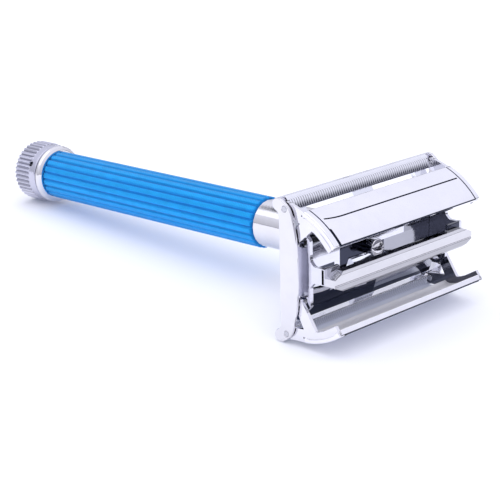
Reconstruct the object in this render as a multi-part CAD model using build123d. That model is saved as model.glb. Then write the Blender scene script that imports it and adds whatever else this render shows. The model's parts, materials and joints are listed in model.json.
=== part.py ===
"""Twist-to-open double-edge safety razor, lying on its side with both doors open.

The razor is drawn upright first: the handle axis is Z with the head at the top, X runs along
the blade and Y runs from door to door.  Z = 0 is the level of the guards.  Everything is then
laid on its side by one common placement, so that the knob rim and one guard touch the table.
All lengths are in millimetres and all angles in degrees.
"""
import math
import os

from build123d import *

# ---- handle -------------------------------------------------------------------------------
GRIP_RADIUS = 5.13
GRIP_FLUTE_DEPTH = 0.34
GRIP_FLUTES = 20
GRIP_TOP = -22.7
GRIP_BOTTOM = -85.25
TUBE_RADIUS = 3.9
TUBE_BORE_RADIUS = 2.7
TUBE_POCKET_RADIUS = 3.4
TUBE_POCKET_TOP = -84.0
TUBE_TOP = -11.0
COLLAR_RADIUS = 4.68
COLLAR_TOP = -9.6
STEM_RADIUS = 4.35
STEM_BORE_RADIUS = 1.9
STEM_SLOT_HALF_WIDTH = 1.85
STEM_SLOT_FLOOR = -7.8
BUSH_LENGTH = 4.0
ROD_CLEARANCE = 0.06

# ---- knob ---------------------------------------------------------------------------------
KNOB_RADIUS = 6.44
KNOB_RIDGE_DEPTH = 0.32
KNOB_RIDGES = 40
RING_RADIUS = 6.2
RING_GRIP_RADIUS = 5.4
RING_BOTTOM = -86.45
KNOB_TOP = -86.75
KNOB_RIDGE_TOP = -88.6
KNOB_BOTTOM = -93.5
KNOB_FLOOR = -91.3
KNOB_CAP_RADIUS = 4.6
KNOB_PIN_RADIUS = 0.45
KNOB_PIN_ANGLE = 151.5
KNOB_PIN_HEIGHT = -88.5
NUT_RADIUS = 2.6
NUT_TOP = -78.0
CLIP_RADIUS = 3.1
CLIP_GROOVE_RADIUS = 2.15
CLIP_BOTTOM = -85.1
CLIP_TOP = -84.5

# ---- lifting rod and centre bar -------------------------------------------------------------
# The rod, frame and bar are drawn fully raised; closing the doors lowers them by 6.8.
ROD_RADIUS = 1.5
ROD_TENON_RADIUS = 1.0
ROD_BOTTOM = -83.5
THREAD_TOP = -62.0
THREAD_PITCH = 1.2
THREAD_DEPTH = 0.16
BAR_TOP = 11.3
BAR_HALF_LENGTH = 19.9
BAR_HALF_WIDTH = 1.83
BAR_OFFSET = -0.8
BAR_BOTTOM = 8.9
BAR_TIP_LENGTH = 2.6
FOOT_LENGTH = 3.4
FOOT_THICKNESS = 0.8
RIVET_RADIUS = 0.5
RIVET_X = 17.3
YOKE_INNER = 19.2
YOKE_OUTER = 19.95
YOKE_TOP = 5.6
YOKE_BOTTOM = 0.5
YOKE_HALF_WIDTH = 7.7
POST_HALF_WIDTH = 1.5
PLATE_HALF_WIDTH = 3.9
PLATE_HEIGHT = 1.3
WAIST_HALF_WIDTH = 1.5
WAIST_HALF_LENGTH = 4.9
RIVET_NECK_RADIUS = 1.45
RIVET_NECK_HEIGHT = 2.5
RIVET_HEAD_RADIUS = 1.75
WINDOW_INNER = 4.55
WINDOW_OUTER = 7.05
WINDOW_BOTTOM = 1.2
WINDOW_TOP = 4.85

# ---- head casting -----------------------------------------------------------------------------
BED_TOP = 3.9
BED_EDGE_TOP = 1.95
BED_HALF_WIDTH = 9.5
BED_THICKNESS = 1.1
BED_HALF_LENGTH = 18.95
BED_SLOT_FLOOR = 1.7
GUARD_INNER = 10.7
GUARD_OUTER = 13.3
GUARD_HALF_LENGTH = 21.15
GUARD_RIBS = 66
DRAIN_START = 2.8
DRAIN_END = 15.6
RELIEF_START = 20.05
END_PLATE_INNER = 21.15
END_PLATE_OUTER = 21.75

# ---- doors, drawn closed and then turned open -------------------------------------------------
DOOR_HALF_LENGTH = 21.0
DOOR_INNER_EDGE = (0.28, 6.05)
DOOR_OUTER_EDGE = (9.0, 4.2)
DOOR_BULGE = 0.6
DOOR_THICKNESS = 0.9
DOOR_LIP_THICKNESS = 1.3
DOOR_END_DEPTH = 2.1
CREASE = 0.602
CREASE_SPAN = (-17.2, 19.0)
RIM_GROOVE_X = 19.75
RIM_GROOVE_WIDTH = 0.25
RIM_GROOVE_DEPTH = 0.18
FLANGE_INNER = 20.25
HINGE_Y = 11.5
HINGE_Z = 1.3
HINGE_PIN_RADIUS = 0.55
HINGE_BORE_RADIUS = 0.6
HINGE_EAR_RADIUS = 1.15
LINK_ARM = 6.33
LINK_ANGLE_CLOSED = 216.7
LINK_PIN_RADIUS = 0.45
LINK_EYE_RADIUS = 1.0
UPPER_DOOR_OPEN = 42.0
LOWER_DOOR_OPEN = 58.0

# ---- how the razor lies -------------------------------------------------------------------------
LEAN = math.degrees(math.atan2(GUARD_OUTER - KNOB_RADIUS, -KNOB_BOTTOM - 0.4))


def ring(outer, inner, bottom, top):
    """A plain tube between two heights on the handle axis."""
    height = top - bottom
    body = extrude(Plane.XY.offset(bottom) * Circle(outer), amount=height)
    return body - extrude(Plane.XY.offset(bottom) * Circle(inner), amount=height)


def rod(radius, bottom, top):
    """A plain round bar on the handle axis."""
    return extrude(Plane.XY.offset(bottom) * Circle(radius), amount=top - bottom)


def block(x0, x1, y0, y1, z0, z1):
    """A rectangular block given by its limits."""
    middle = Location(((x0 + x1) / 2, (y0 + y1) / 2, (z0 + z1) / 2))
    return middle * Box(x1 - x0, y1 - y0, z1 - z0)


def slab(face, x0, x1):
    """A flat shape drawn across the head, given thickness along the blade direction."""
    return extrude(Plane.YZ.offset(x0) * face, amount=x1 - x0)


def outline(points):
    """A flat shape with straight sides."""
    return make_face(Polyline(*points, close=True))


def disc(centre, radius):
    return Location((centre[0], centre[1])) * Circle(radius)


def strap(first, first_radius, second, second_radius):
    """A flat bar with round ends of two different sizes."""
    circles = disc(first, first_radius).edges() + disc(second, second_radius).edges()
    return make_hull(circles)


def ridged_face(outer, depth, count, sharpness):
    """A round face with evenly spaced flutes around its rim."""
    points = []
    steps = count * 8
    for step in range(steps):
        angle = 2 * math.pi * step / steps
        wave = abs(math.cos(angle * count / 2)) ** sharpness
        radius = outer - depth * wave
        points.append((radius * math.cos(angle), radius * math.sin(angle)))
    return make_face(Polyline(*points, close=True))


def mirrored_y(shape):
    return shape.mirror(Plane.XZ)


def mirrored_x(shape):
    return shape.mirror(Plane.YZ)


# ---- handle parts -------------------------------------------------------------------------------

def make_grip():
    length = GRIP_TOP - GRIP_BOTTOM
    face = ridged_face(GRIP_RADIUS, GRIP_FLUTE_DEPTH, GRIP_FLUTES, 6)
    body = extrude(Plane.XY.offset(GRIP_BOTTOM) * face, amount=length)
    return body - rod(TUBE_RADIUS, GRIP_BOTTOM, GRIP_TOP)


def make_tube():
    body = ring(TUBE_RADIUS, TUBE_BORE_RADIUS, GRIP_BOTTOM, TUBE_TOP)
    return body - rod(TUBE_POCKET_RADIUS, GRIP_BOTTOM, TUBE_POCKET_TOP)


def make_collar():
    body = ring(COLLAR_RADIUS, TUBE_RADIUS, GRIP_TOP, TUBE_TOP)
    body += ring(COLLAR_RADIUS, STEM_BORE_RADIUS, TUBE_TOP, COLLAR_TOP)
    rims = body.edges().filter_by(GeomType.CIRCLE).filter_by(
        lambda edge: abs(edge.radius - COLLAR_RADIUS) < 0.01)
    return chamfer(rims, 0.15)


def make_rod_bush():
    return ring(TUBE_BORE_RADIUS, ROD_RADIUS + ROD_CLEARANCE, TUBE_TOP - BUSH_LENGTH, TUBE_TOP)


def make_handle_ring():
    """The polished ring that ends the handle, tapering towards the grip."""
    bore = NUT_RADIUS + ROD_CLEARANCE
    profile = Polyline(
        (bore, RING_BOTTOM), (RING_RADIUS - 0.2, RING_BOTTOM), (RING_RADIUS, RING_BOTTOM + 0.2),
        (RING_RADIUS, GRIP_BOTTOM - 0.75), (RING_RADIUS - 0.25, GRIP_BOTTOM - 0.3),
        (RING_GRIP_RADIUS, GRIP_BOTTOM), (bore, GRIP_BOTTOM), close=True)
    return revolve(Plane.XZ * make_face(profile), Axis.Z)


# ---- knob parts -----------------------------------------------------------------------------------

def make_knob():
    height = KNOB_RIDGE_TOP - KNOB_BOTTOM - 0.5
    face = ridged_face(KNOB_RADIUS, KNOB_RIDGE_DEPTH, KNOB_RIDGES, 2)
    body = extrude(Plane.XY.offset(KNOB_BOTTOM + 0.5) * face, amount=height)
    body += rod(KNOB_RADIUS - 0.45, KNOB_BOTTOM, KNOB_BOTTOM + 0.5)
    body += rod(KNOB_RADIUS - 0.25, KNOB_RIDGE_TOP, KNOB_TOP)
    body -= rod(NUT_RADIUS, KNOB_FLOOR, KNOB_TOP)
    body -= rod(KNOB_CAP_RADIUS, KNOB_BOTTOM, KNOB_BOTTOM + 0.9)
    return body - across_knob(KNOB_PIN_RADIUS, 0, KNOB_RADIUS + 1)


def across_knob(radius, start, stop):
    """A round bar pointing out of the knob between two distances from its axis."""
    bar = extrude(Plane.YZ.offset(start) * Circle(radius), amount=stop - start)
    return Location((0, 0, KNOB_PIN_HEIGHT)) * Rotation(0, 0, KNOB_PIN_ANGLE) * bar


def make_knob_pin():
    """The pin that fixes the knob to the drive nut; its end stands below the knob's skin."""
    return across_knob(KNOB_PIN_RADIUS, ROD_RADIUS + 0.3, KNOB_RADIUS - 0.75)


def make_knob_cap():
    body = rod(KNOB_CAP_RADIUS, KNOB_BOTTOM + 0.1, KNOB_BOTTOM + 0.9)
    rim = body.edges().sort_by(Axis.Z)[0]
    return fillet(rim, 0.4)


def make_drive_nut():
    body = ring(NUT_RADIUS, ROD_RADIUS + ROD_CLEARANCE, KNOB_FLOOR, NUT_TOP)
    body -= ring(NUT_RADIUS + 1, CLIP_GROOVE_RADIUS, CLIP_BOTTOM, CLIP_TOP)
    return body - across_knob(KNOB_PIN_RADIUS, ROD_RADIUS + 0.3, KNOB_RADIUS + 1)


def make_retaining_ring():
    """The open spring ring in the nut's groove that stops knob and nut pulling out."""
    body = ring(CLIP_RADIUS, CLIP_GROOVE_RADIUS, CLIP_BOTTOM, CLIP_TOP)
    return body - block(0, CLIP_RADIUS + 1, -0.6, 0.6, CLIP_BOTTOM - 1, CLIP_TOP + 1)


# ---- lifting parts ----------------------------------------------------------------------------------

def make_lift_rod():
    body = rod(ROD_RADIUS, ROD_BOTTOM, YOKE_BOTTOM)
    body += rod(ROD_TENON_RADIUS, YOKE_BOTTOM, YOKE_BOTTOM + PLATE_HEIGHT)
    turn = ROD_BOTTOM + 1.0
    while turn < THREAD_TOP:
        body -= ring(ROD_RADIUS + 0.5, ROD_RADIUS - THREAD_DEPTH, turn, turn + THREAD_PITCH / 2)
        turn += THREAD_PITCH
    return body


def make_rod_rivet():
    """The domed head that clamps the lifting plate on the rod, standing on a neck."""
    base = YOKE_BOTTOM + PLATE_HEIGHT
    shoulder = base + RIVET_NECK_HEIGHT
    dome = Location((0, 0, shoulder - 0.6)) * Sphere(RIVET_HEAD_RADIUS)
    head = dome & block(-2, 2, -2, 2, shoulder, shoulder + 1.3)
    return head + rod(RIVET_NECK_RADIUS, base, shoulder)


def make_yoke():
    """One cross plate with two windows and a post, on one end of the lifting plate."""
    corner = 1.6
    plate = outline([
        (-YOKE_HALF_WIDTH, YOKE_BOTTOM), (YOKE_HALF_WIDTH, YOKE_BOTTOM),
        (YOKE_HALF_WIDTH, YOKE_TOP - corner), (YOKE_HALF_WIDTH - corner, YOKE_TOP),
        (POST_HALF_WIDTH + 0.9, YOKE_TOP), (POST_HALF_WIDTH, YOKE_TOP + 0.9),
        (POST_HALF_WIDTH, BAR_BOTTOM), (-POST_HALF_WIDTH, BAR_BOTTOM),
        (-POST_HALF_WIDTH, YOKE_TOP + 0.9), (-POST_HALF_WIDTH - 0.9, YOKE_TOP),
        (corner - YOKE_HALF_WIDTH, YOKE_TOP), (-YOKE_HALF_WIDTH, YOKE_TOP - corner),
    ])
    yoke = slab(plate, YOKE_INNER, YOKE_OUTER)
    for side in (1, -1):
        edges = sorted((side * WINDOW_INNER, side * WINDOW_OUTER))
        yoke -= block(YOKE_INNER - 1, YOKE_OUTER + 1, edges[0], edges[1], WINDOW_BOTTOM, WINDOW_TOP)
    foot = block(YOKE_INNER - FOOT_LENGTH, YOKE_OUTER, -POST_HALF_WIDTH, POST_HALF_WIDTH,
                 BAR_BOTTOM - FOOT_THICKNESS, BAR_BOTTOM)
    return yoke + foot


def make_lift_frame():
    """The lifting plate, with a narrow waist that runs in the stem's slot, and its two yokes."""
    plate_top = YOKE_BOTTOM + PLATE_HEIGHT
    waist_end = WAIST_HALF_LENGTH + 1.3
    quarter = [(0, WAIST_HALF_WIDTH), (WAIST_HALF_LENGTH, WAIST_HALF_WIDTH),
               (waist_end, PLATE_HALF_WIDTH), (YOKE_INNER, PLATE_HALF_WIDTH)]
    half = quarter + [(x, -y) for x, y in reversed(quarter)]
    wing = extrude(Plane.XY.offset(YOKE_BOTTOM) * outline(half), amount=PLATE_HEIGHT)
    yoke = make_yoke()
    frame = wing + mirrored_x(wing) + yoke + mirrored_x(yoke)
    frame -= rod(ROD_TENON_RADIUS, YOKE_BOTTOM - 1, plate_top + 1)
    for side in (1, -1):
        hole = Location((side * RIVET_X, 0, BAR_BOTTOM - FOOT_THICKNESS))
        frame -= hole * Cylinder(RIVET_RADIUS, 4)
    return frame


def make_centre_bar():
    """The long bar on top of the posts: flat top with a fine crease and bevelled tips."""
    top_half = BAR_HALF_WIDTH - 0.45
    section = outline([
        (-BAR_HALF_WIDTH, BAR_BOTTOM + 0.5), (0.4 - BAR_HALF_WIDTH, BAR_BOTTOM),
        (BAR_HALF_WIDTH - 0.4, BAR_BOTTOM), (BAR_HALF_WIDTH, BAR_BOTTOM + 0.5),
        (BAR_HALF_WIDTH, BAR_TOP - 0.4), (top_half, BAR_TOP),
        (-0.25, BAR_TOP - 0.05), (-0.4, BAR_TOP - 0.16), (-0.55, BAR_TOP - 0.05),
        (-top_half, BAR_TOP), (-BAR_HALF_WIDTH, BAR_TOP - 0.4),
    ])
    bar = slab(section, -BAR_HALF_LENGTH, BAR_HALF_LENGTH)
    for x_side in (1, -1):
        for y_side in (1, -1):
            tip = Polyline(
                (x_side * (BAR_HALF_LENGTH + 1), y_side * 0.2),
                (x_side * (BAR_HALF_LENGTH + 1), y_side * (BAR_HALF_WIDTH + 1)),
                (x_side * (BAR_HALF_LENGTH - BAR_TIP_LENGTH), y_side * (BAR_HALF_WIDTH + 1)),
                (x_side * (BAR_HALF_LENGTH - BAR_TIP_LENGTH), y_side * BAR_HALF_WIDTH),
                (x_side * BAR_HALF_LENGTH, y_side * 0.7), close=True)
            bar -= extrude(Plane.XY.offset(BAR_BOTTOM - 1) * make_face(tip), amount=4)
    bar = Location((0, BAR_OFFSET, 0)) * bar
    for side in (1, -1):
        hole = disc((side * RIVET_X, 0), RIVET_RADIUS)
        bar -= extrude(Plane.XY.offset(BAR_BOTTOM - 1) * hole, amount=1 + 1.2)
    return bar


def make_bar_rivets():
    rivets = []
    for side in (1, -1):
        place = (side * RIVET_X, 0)
        shank_bottom = BAR_BOTTOM - FOOT_THICKNESS
        shank = extrude(Plane.XY.offset(shank_bottom) * disc(place, RIVET_RADIUS), amount=2.0)
        head = extrude(Plane.XY.offset(shank_bottom - 0.4) * disc(place, 0.85), amount=0.4)
        rivets.append(shank + head)
    return Compound(children=rivets)


# ---- head casting -----------------------------------------------------------------------------------

def bed_section():
    """Half of the arched blade bed, cut across the blade."""
    rise = BED_TOP - BED_EDGE_TOP
    radius = (BED_HALF_WIDTH ** 2 + rise ** 2) / (2 * rise)
    centre = BED_TOP - radius

    def on_arc(y, thickness):
        return (y, centre + math.sqrt((radius - thickness) ** 2 - y ** 2))

    steps = [BED_HALF_WIDTH * i / 8 for i in range(9)]
    top = [on_arc(y, 0) for y in steps]
    bottom = [on_arc(y, BED_THICKNESS) for y in reversed(steps)]
    return outline(top + bottom)


def guard_section():
    return outline([
        (GUARD_INNER, -0.3), (GUARD_INNER, 1.2), (11.0, 1.3), (12.6, 0.62), (13.0, 0.35),
        (13.22, 0.0), (GUARD_OUTER, -0.4), (13.2, -0.85), (12.9, -1.25), (12.4, -1.5),
        (11.7, -1.3),
    ])


def make_guard_comb():
    """Fine ribs standing on the sloping face of one guard."""
    inner = (10.85, 1.2)
    outer = (12.55, 0.5)
    length = math.dist(inner, outer)
    slope = math.degrees(math.atan2(outer[1] - inner[1], outer[0] - inner[0]))
    half = RELIEF_START - 0.6
    pitch = 2 * half / GUARD_RIBS
    points = [(-half, 0)]
    for rib in range(GUARD_RIBS):
        start = -half + rib * pitch
        points += [(start, 0.12), (start + pitch * 0.2, 0.34), (start + pitch * 0.6, 0.34),
                   (start + pitch * 0.8, 0.12)]
    points += [(half, 0.12), (half, 0)]
    face = make_face(Polyline(*points, close=True))
    comb = extrude(Plane.XZ * face, amount=-length)
    return Location((0, inner[0], inner[1])) * Rotation(slope, 0, 0) * comb


def boat_slot():
    """The wavy opening along the middle of the bed, one side of it."""
    knots = [(-20, 3.0), (-16.5, 3.9), (-12.5, 4.1), (-8.5, 3.2), (-4.5, 3.0), (0, 3.4),
             (4.5, 3.0), (8.5, 3.2), (12.5, 4.1), (16.5, 3.9), (20, 3.0)]
    edge = Spline(*knots)
    sides = Polyline(edge @ 1, (20, -1), (-20, -1), edge @ 0)
    return extrude(Plane.XY.offset(BED_SLOT_FLOOR) * make_face([edge, sides]), amount=8)


def make_head_casting():
    """Stem, arched bed and both guards in one piece."""
    half = slab(bed_section(), -BED_HALF_LENGTH, BED_HALF_LENGTH)
    guard = slab(guard_section(), -GUARD_HALF_LENGTH, GUARD_HALF_LENGTH)
    for side in (1, -1):
        limits = sorted((side * RELIEF_START, side * (GUARD_HALF_LENGTH + 1)))
        guard -= block(limits[0], limits[1], 9, 14, -0.05, 3)
    half += guard + make_guard_comb()
    web = outline([(8.9, 1.1), (9.4, 1.75), (10.8, 0.9), (10.8, -0.2), (9.2, 0.3)])
    half += slab(web, -DRAIN_START, DRAIN_START)
    for side in (1, -1):
        limits = sorted((side * DRAIN_END, side * BED_HALF_LENGTH))
        half += slab(web, limits[0], limits[1])
    wall = rod(STEM_RADIUS, COLLAR_TOP, 3.0)
    half += wall & block(-6, 6, STEM_SLOT_HALF_WIDTH, 6, STEM_SLOT_FLOOR, 4)
    half -= boat_slot()
    foot = rod(STEM_RADIUS, COLLAR_TOP, STEM_SLOT_FLOOR)
    casting = half + mirrored_y(half) + foot
    return casting - rod(STEM_BORE_RADIUS, COLLAR_TOP - 1, 0.4)


def make_end_plate():
    """The plate that closes one end of the head and carries two hinge pins."""
    top = Spline((-13.2, 0.5), (-11.6, 2.45), (-9.0, 3.3), (-5.5, 3.95), (0, 4.25),
                 (5.5, 3.95), (9.0, 3.3), (11.6, 2.45), (13.2, 0.5))
    right = Spline(top @ 1, (13.25, -0.5), (12.7, -1.35), (11.9, -1.5))
    right_foot = Spline(right @ 1, (11.2, -1.1), (10.7, -0.3), (10.0, 0.0))
    bottom = Line(right_foot @ 1, (-10.0, 0.0))
    left_foot = Spline(bottom @ 1, (-10.7, -0.3), (-11.2, -1.1), (-11.9, -1.5))
    left = Spline(left_foot @ 1, (-12.7, -1.35), (-13.25, -0.5), top @ 0)
    rim = [top, right, right_foot, bottom, left_foot, left]
    plate = slab(make_face(rim), END_PLATE_INNER, END_PLATE_OUTER)
    for side in (1, -1):
        plate -= slab(disc((side * HINGE_Y, HINGE_Z), HINGE_PIN_RADIUS),
                      END_PLATE_INNER - 1, END_PLATE_OUTER + 1)
    return plate


def make_hinge_pins():
    pins = []
    for x_side in (1, -1):
        limits = sorted((x_side * (RELIEF_START + 0.05), x_side * END_PLATE_OUTER))
        for y_side in (1, -1):
            pins.append(slab(disc((y_side * HINGE_Y, HINGE_Z), HINGE_PIN_RADIUS), *limits))
    return Compound(children=pins)


# ---- doors --------------------------------------------------------------------------------------------

def door_point(fraction, depth):
    """A point of the closed door: 0 is its inner edge, 1 its outer edge; depth is below the skin."""
    inner = Vector(*DOOR_INNER_EDGE)
    outer = Vector(*DOOR_OUTER_EDGE)
    half_chord = (outer - inner).length / 2
    radius = (half_chord ** 2 + DOOR_BULGE ** 2) / (2 * DOOR_BULGE)
    along = (outer - inner).normalized()
    up = Vector(-along.Y, along.X)
    centre = (inner + outer) / 2 - up * (radius - DOOR_BULGE)
    half_angle = math.asin(half_chord / radius)
    angle = (2 * fraction - 1) * half_angle
    point = centre + (up * math.cos(angle) + along * math.sin(angle)) * (radius - depth)
    return (point.X, point.Y)


def door_strip(start, stop, depth_at_start, depth_at_stop, skin=0.0):
    """Part of the curved door section between two fractions of its width."""
    steps = 10
    fractions = [start + (stop - start) * i / steps for i in range(steps + 1)]
    top = [door_point(f, skin) for f in fractions]
    depths = [depth_at_start + (depth_at_stop - depth_at_start) * i / steps for i in range(steps + 1)]
    bottom = [door_point(f, d) for f, d in zip(fractions, depths)]
    return outline(top + bottom[::-1])


def link_eye():
    angle = math.radians(LINK_ANGLE_CLOSED)
    return (HINGE_Y + LINK_ARM * math.cos(angle), HINGE_Z + LINK_ARM * math.sin(angle))


def make_door(open_angle):
    """The door on the upper side, made closed and turned open about its hinge."""
    length = DOOR_HALF_LENGTH
    plate = slab(door_strip(0, 1, DOOR_THICKNESS, DOOR_THICKNESS), -length, length)
    plate += slab(door_strip(0, 0.13, DOOR_LIP_THICKNESS, DOOR_LIP_THICKNESS, 0.3), -length, length)
    plate += slab(door_strip(0.92, 1, 1.0, 1.5, 0.3), -length, length)
    crease = outline([door_point(CREASE - 0.02, -0.2), door_point(CREASE + 0.015, -0.2),
                      door_point(CREASE + 0.015, 0.02), door_point(CREASE, 0.2),
                      door_point(CREASE - 0.015, 0.02)])
    plate -= slab(crease, *CREASE_SPAN)
    groove = door_strip(0, 1, RIM_GROOVE_DEPTH, RIM_GROOVE_DEPTH, -0.3)
    for start in (-RIM_GROOVE_X, RIM_GROOVE_X - RIM_GROOVE_WIDTH):
        plate -= slab(groove, start, start + RIM_GROOVE_WIDTH)
    eye = link_eye()
    hinge = (HINGE_Y, HINGE_Z)
    web = outline([door_point(0.6, 0.5), door_point(1, 0.5), door_point(1, 1.4),
                   door_point(0.6, 2.2)])
    flange = web + strap(hinge, HINGE_EAR_RADIUS, door_point(0.86, 1.3), 1.2)
    flange += strap(eye, LINK_EYE_RADIUS, door_point(0.78, 1.6), 1.3)
    flange += door_strip(0, 1, DOOR_END_DEPTH, DOOR_END_DEPTH, 0.3)
    flange_solid = slab(flange, FLANGE_INNER, length)
    flange_solid -= slab(disc(hinge, HINGE_BORE_RADIUS), FLANGE_INNER - 1, length + 1)
    flange_solid -= slab(disc(eye, LINK_PIN_RADIUS), FLANGE_INNER - 1, length + 1)
    plate += flange_solid + mirrored_x(flange_solid)
    return turn_about_hinge(plate, -open_angle)


def make_link_pins(open_angle, lower=False):
    """The two pins of one door that run in the yoke windows."""
    eye = link_eye()
    pins = []
    for side in (1, -1):
        limits = sorted((side * (YOKE_INNER - 0.15), side * DOOR_HALF_LENGTH))
        pin = turn_about_hinge(slab(disc(eye, LINK_PIN_RADIUS), *limits), -open_angle)
        pins.append(mirrored_y(pin) if lower else pin)
    return Compound(children=pins)


def turn_about_hinge(shape, angle):
    axis = Axis((0, HINGE_Y, HINGE_Z), (1, 0, 0))
    return shape.rotate(axis, angle)


# ---- laying the razor down ------------------------------------------------------------------------------

def lying_place(shapes):
    """The one placement that lays the upright razor on its side, resting on the table."""
    lying = Rotation(90 - LEAN, 0, 0)
    boxes = [(lying * shape).bounding_box() for shape in shapes]
    low = [min(box.min.X for box in boxes), min(box.min.Y for box in boxes),
           min(box.min.Z for box in boxes)]
    high = [max(box.max.X for box in boxes), max(box.max.Y for box in boxes)]
    shift = Location((-(low[0] + high[0]) / 2, -(low[1] + high[1]) / 2, -low[2]))
    return shift * lying


def main():
    os.makedirs("parts", exist_ok=True)
    end_plate = make_end_plate()
    parts = {
        "grip_sleeve": make_grip(),
        "handle_tube": make_tube(),
        "neck_collar": make_collar(),
        "rod_bush": make_rod_bush(),
        "handle_ring": make_handle_ring(),
        "knob_barrel": make_knob(),
        "knob_cap": make_knob_cap(),
        "knob_pin": make_knob_pin(),
        "drive_nut": make_drive_nut(),
        "retaining_ring": make_retaining_ring(),
        "lift_rod": make_lift_rod(),
        "rod_rivet": make_rod_rivet(),
        "lift_frame": make_lift_frame(),
        "centre_bar": make_centre_bar(),
        "bar_rivets": make_bar_rivets(),
        "head_casting": make_head_casting(),
        "end_plate_right": end_plate,
        "end_plate_left": mirrored_x(end_plate),
        "hinge_pins": make_hinge_pins(),
        "door_upper": make_door(UPPER_DOOR_OPEN),
        "door_lower": mirrored_y(make_door(LOWER_DOOR_OPEN)),
        "link_pins_upper": make_link_pins(UPPER_DOOR_OPEN),
        "link_pins_lower": make_link_pins(LOWER_DOOR_OPEN, lower=True),
    }
    place = lying_place(parts.values())
    for name, shape in parts.items():
        export_step(place * shape, f"parts/{name}.step")
        print(name, "volume", round(shape.volume, 2), "solids", len(shape.solids()))
    print("placement", place)


main()
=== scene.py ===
"""Twist-to-open safety razor on a white table, doors open.

Every piece is drawn in the razor's own upright frame, in millimetres: Z along the handle with
the head at the top, X along the blade, Y from door to door, Z = 0 at the guards.  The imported
model says where that frame lies on the table.
"""
import json
import math
from contextlib import contextmanager
import bpy
import bmesh
from mathutils import Matrix, Vector


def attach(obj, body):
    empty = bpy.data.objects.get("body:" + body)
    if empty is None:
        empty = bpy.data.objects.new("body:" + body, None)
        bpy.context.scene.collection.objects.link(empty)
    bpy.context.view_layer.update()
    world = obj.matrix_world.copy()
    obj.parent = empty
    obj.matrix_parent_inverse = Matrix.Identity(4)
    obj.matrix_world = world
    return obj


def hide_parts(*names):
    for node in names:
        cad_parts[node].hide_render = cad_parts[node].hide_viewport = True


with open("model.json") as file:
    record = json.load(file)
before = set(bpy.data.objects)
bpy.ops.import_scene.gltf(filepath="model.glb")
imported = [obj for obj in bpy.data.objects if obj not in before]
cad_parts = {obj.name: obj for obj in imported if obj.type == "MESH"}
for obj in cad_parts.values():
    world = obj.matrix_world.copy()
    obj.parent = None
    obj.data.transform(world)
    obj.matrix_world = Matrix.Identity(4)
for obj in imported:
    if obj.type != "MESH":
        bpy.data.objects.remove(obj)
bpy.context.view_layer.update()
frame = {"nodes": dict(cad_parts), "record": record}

MM = 0.001

# ---- the razor's own frame ----

KNOB_JOINT = next(j for j in frame["record"]["behaviour"]["joints"] if j["name"] == "knob_turn")
ORIGIN = Vector(KNOB_JOINT["pos_m"])
UP = Vector(KNOB_JOINT["axis"]).normalized()
ALONG = Vector((1.0, 0.0, 0.0))
ACROSS = UP.cross(ALONG)


def place(point):
    """A point of the razor's own frame, in millimetres, to where it lies in the scene."""
    x, y, z = point
    return ORIGIN + (ALONG * x + ACROSS * y + UP * z) * MM


def place_matrix():
    turn = Matrix((ALONG, ACROSS, UP)).transposed().to_4x4()
    return Matrix.Translation(ORIGIN) @ turn @ Matrix.Scale(MM, 4)


# ---- dimensions, in millimetres ----

GRIP_RADIUS = 5.13
GRIP_BORE = 3.95
GRIP_KNURL_DEPTH = 0.12
GRIP_FLUTES = 20
GRIP_FLUTE_DEPTH = 0.34
GRIP_TOP = -22.7
GRIP_BOTTOM = -85.25
COLLAR_RADIUS = 4.68
COLLAR_TOP = -9.6
STEM_RADIUS = 4.35
STEM_SLOT = 1.85
STEM_SLOT_FLOOR = -7.8
KNOB_RADIUS = 6.44
KNOB_RIDGES = 40
KNOB_RIDGE_DEPTH = 0.32
KNOB_BAND_RADIUS = KNOB_RADIUS - 0.25
KNOB_TOP = -86.75
KNOB_RIDGE_TOP = -88.6
KNOB_BOTTOM = -93.5
KNOB_CAP_RADIUS = 4.6
KNOB_PIN_ANGLE = math.radians(151.5)
KNOB_PIN_HEIGHT = -88.5
KNOB_PIN_RADIUS = 0.45
NUT_RADIUS = 2.6
RING_RADIUS = 6.2
RING_GRIP_RADIUS = 5.4
RING_BORE = 2.7
RING_BOTTOM = -86.45

BAR_TOP = 11.3
BAR_BOTTOM = 8.9
BAR_HALF_LENGTH = 19.9
BAR_HALF_WIDTH = 1.83
BAR_OFFSET = -0.8
YOKE_INNER = 19.2
YOKE_OUTER = 19.95
YOKE_BOTTOM = 0.5
YOKE_TOP = 5.6
YOKE_HALF_WIDTH = 7.7
WINDOW = (4.55, 7.05, 1.2, 4.85)
POST_HALF_WIDTH = 1.5
PLATE_HALF_WIDTH = 3.9
PLATE_HEIGHT = 1.3
WAIST_HALF_WIDTH = 1.5
WAIST_HALF_LENGTH = 4.9
RIVET_NECK_HEIGHT = 2.5
RIVET_X = 17.3

BED_TOP = 3.9
BED_EDGE_TOP = 1.95
BED_HALF_WIDTH = 9.5
BED_THICKNESS = 1.1
BED_HALF_LENGTH = 18.95
GUARD_HALF_LENGTH = 21.15
GUARD_RIBS = 66
RELIEF_START = 20.05
DRAIN_START = 2.8
DRAIN_END = 15.6
END_PLATE_INNER = 21.15
END_PLATE_OUTER = 21.75

DOOR_HALF_LENGTH = 21.0
DOOR_INNER_EDGE = (0.28, 6.05)
DOOR_OUTER_EDGE = (9.0, 4.2)
DOOR_BULGE = 0.6
DOOR_THICKNESS = 0.9
FLANGE_INNER = 20.25
HINGE = (11.5, 1.3)
HINGE_PIN_RADIUS = 0.55
LINK_ARM = 6.33
LINK_ANGLE = 216.7
LINK_PIN_RADIUS = 0.45
CREASE = 0.602
CREASE_SPAN = (-17.2, 19.0)
RIM_GROOVE_X = 19.75
RIM_GROOVE_WIDTH = 0.25
UPPER_OPEN = 42.0
LOWER_OPEN = 58.0


# ---- materials ----

# the colour sockets of a Mix node, which share their names with its other sockets
MIX_FIRST, MIX_SECOND, MIX_RESULT = 6, 7, 2
# the near-black that painted shade and painted dark reflections darken the chrome towards
PAINTED_SHADE_DARK = (0.018, 0.024, 0.05)


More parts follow.
